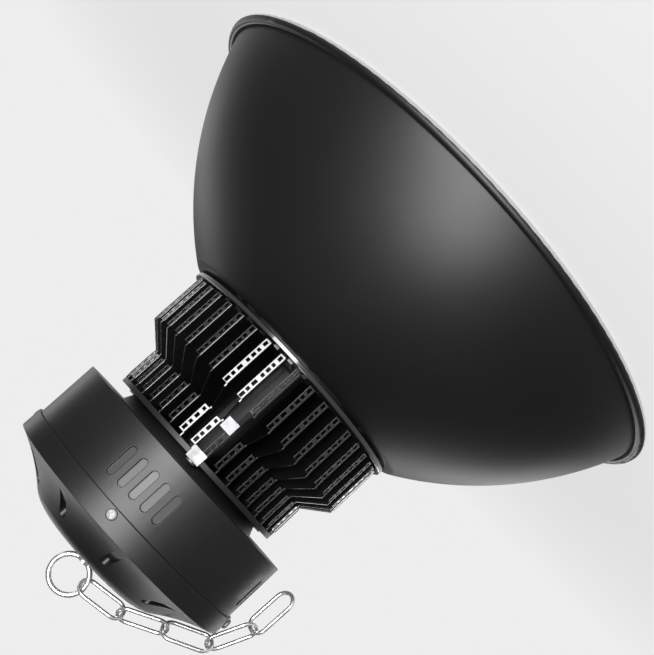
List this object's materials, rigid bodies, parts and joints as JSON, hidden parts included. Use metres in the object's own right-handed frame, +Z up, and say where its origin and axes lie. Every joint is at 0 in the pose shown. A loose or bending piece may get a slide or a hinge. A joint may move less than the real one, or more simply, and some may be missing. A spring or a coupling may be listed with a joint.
{
  "type": "high bay light",
  "caption": "Black high bay light with a spun bowl reflector, a stamped fin heat sink, a round driver housing, an eye ring and a short chain.",
  "frame": {"origin": "middle of the plane that the reflector's rim stands on, under the eye ring", "axes": "+Z up along the light's axis towards the eye ring, +Y towards the cable gland at the back, chain laid over the cap towards -X"},
  "size_m": [0.42, 0.42, 0.359],
  "materials": {
    "black_paint": "satin",
    "gloss_black": "gloss",
    "board_metal": "matte",
    "phosphor": "matte",
    "lens_glass": "clear",
    "seal_rubber": "matte",
    "bare_aluminium": "satin",
    "zinc_steel": "zinc plated",
    "plated_steel": "bright plated",
    "driver_case": "satin",
    "terminal_plastic": "matte",
    "gland_plastic": "satin",
    "lead_sheath": "matte"
  },
  "bodies": {
    "light": {"reflector": "black_paint", "base_plate": "black_paint", "collar_ring": "gloss_black", "led_board": "board_metal", "led_cob": "phosphor", "lens": "lens_glass", "lens_gasket": "seal_rubber", "lens_ring": "bare_aluminium", "lens_screws": "zinc_steel", "reflector_screws": "zinc_steel", "heat_sink_fins": "gloss_black", "core_tube": "bare_aluminium", "end_plate": "black_paint", "tie_straps": "zinc_steel", "foot_clips": "zinc_steel", "clip_screws": "zinc_steel", "neck_spacer": "black_paint", "driver_housing": "black_paint", "housing_screws": "zinc_steel", "cap": "black_paint", "cap_screws": "zinc_steel", "eye_ring_bolt": "plated_steel", "eye_bolt_nuts": "plated_steel", "eye_bolt_washer": "plated_steel", "driver_module": "driver_case", "driver_bracket": "zinc_steel", "driver_screws": "zinc_steel", "terminal_block": "terminal_plastic", "cable_gland": "gland_plastic", "internal_lead": "lead_sheath"},
    "chain_link_1": {"chain_link_1": "plated_steel"},
    "chain_link_2": {"chain_link_2": "plated_steel"},
    "chain_link_3": {"chain_link_3": "plated_steel"},
    "chain_link_4": {"chain_link_4": "plated_steel"},
    "chain_link_5": {"chain_link_5": "plated_steel"}
  },
  "joints": [
    {"name": "link_1_swing", "type": "hinge", "parent": "light", "child": "chain_link_1", "pos_m": [0, 0, 0.343], "axis": [0, 1, 0], "range_deg": [0, 100]},
    {"name": "link_2_swing", "type": "hinge", "parent": "chain_link_1", "child": "chain_link_2", "pos_m": [-0.04382, 0, 0.33527], "axis": [0, 1, 0], "range_deg": [0, 63]},
    {"name": "link_3_swing", "type": "hinge", "parent": "chain_link_2", "child": "chain_link_3", "pos_m": [-0.07252, 0, 0.32001], "axis": [0, 1, 0], "range_deg": [0, 44]},
    {"name": "link_4_swing", "type": "hinge", "parent": "chain_link_3", "child": "chain_link_4", "pos_m": [-0.10148, 0, 0.30526], "axis": [0, 1, 0], "range_deg": [0, 84]},
    {"name": "link_5_swing", "type": "hinge", "parent": "chain_link_4", "child": "chain_link_5", "pos_m": [-0.1147, 0, 0.27557], "axis": [0, 1, 0], "range_deg": [0, 67]}
  ]
}
